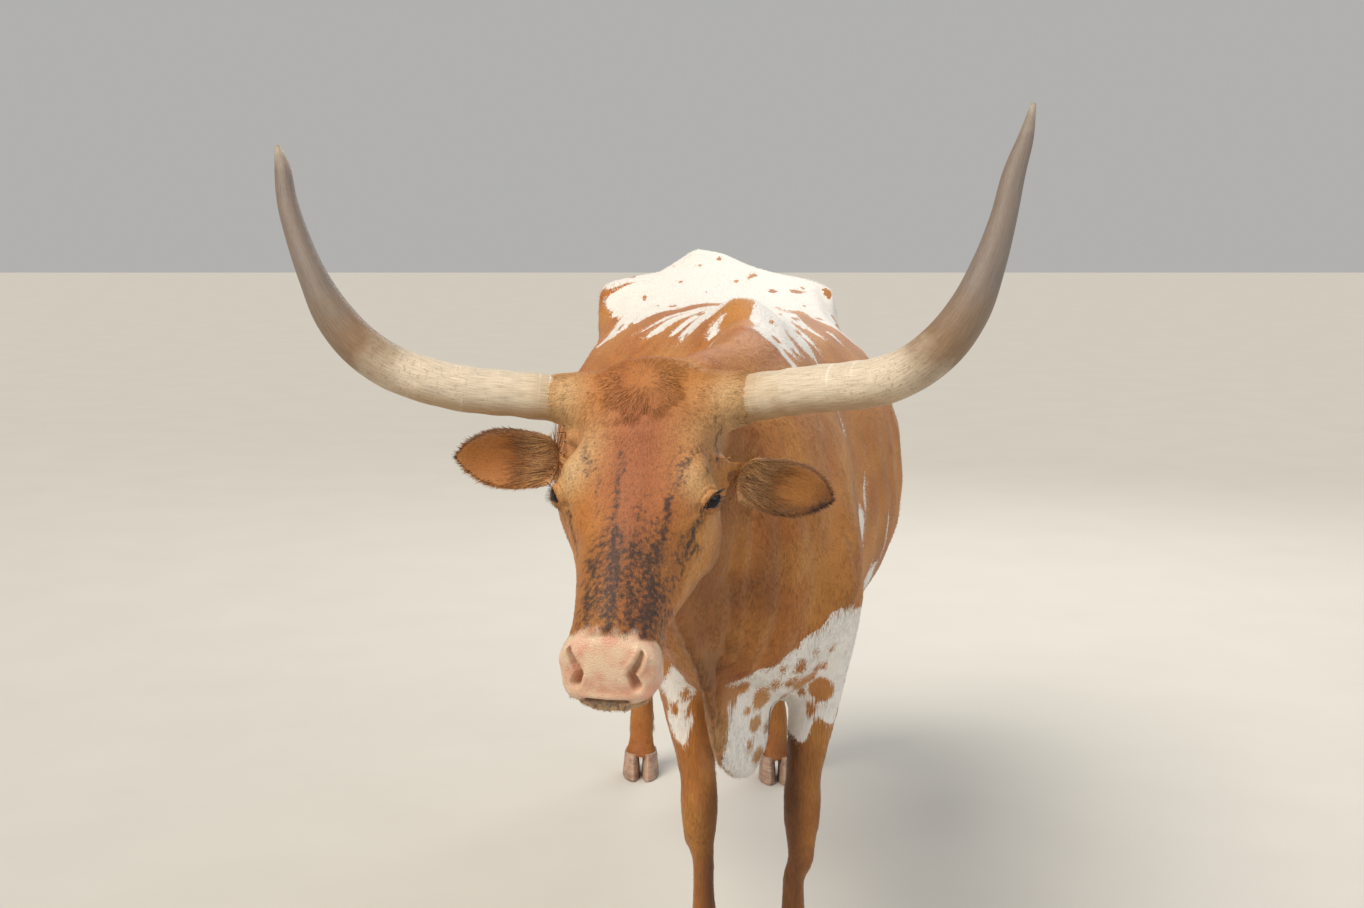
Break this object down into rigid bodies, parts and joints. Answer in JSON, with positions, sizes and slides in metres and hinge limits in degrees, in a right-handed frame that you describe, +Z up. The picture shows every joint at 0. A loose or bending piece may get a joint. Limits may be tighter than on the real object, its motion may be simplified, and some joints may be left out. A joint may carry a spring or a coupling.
{
  "type": "texas longhorn cow, standing still",
  "caption": "Life-size texas longhorn cow standing with lowered, slightly turned head, long upswept horns and brown hide with white back and spotted chest.",
  "frame": {"origin": "on the floor under the middle of the animal's bounding box", "axes": "+Z up, +Y from the muzzle to the tail, +X to the animal's left"},
  "size_m": [1.0396, 2.22, 1.5334],
  "materials": {
    "hide": "short glossy brown hair with white and dark markings",
    "hair": "long coarse tail hair",
    "bare_skin": "thin pink skin with sparse hair",
    "horn": "horn, pale ringed base and darker scratched outer half",
    "hoof": "hoof horn with fine growth rings",
    "eye": "wet dark eye"
  },
  "bodies": {
    "root": {"head": "hide", "ear_left": "hide", "ear_right": "hide", "neck": "hide", "torso": "hide", "udder": "bare_skin", "tail": "hide", "tail_switch": "hair", "foreleg_left": "hide", "foreleg_right": "hide", "hindleg_left": "hide", "hindleg_right": "hide", "horn_left": "horn", "horn_right": "horn", "eye_left": "eye", "eye_right": "eye", "claw_fore_left_inner": "hoof", "claw_fore_left_outer": "hoof", "claw_fore_right_inner": "hoof", "claw_fore_right_outer": "hoof", "claw_hind_left_inner": "hoof", "claw_hind_left_outer": "hoof", "claw_hind_right_inner": "hoof", "claw_hind_right_outer": "hoof"}
  },
  "joints": []
}
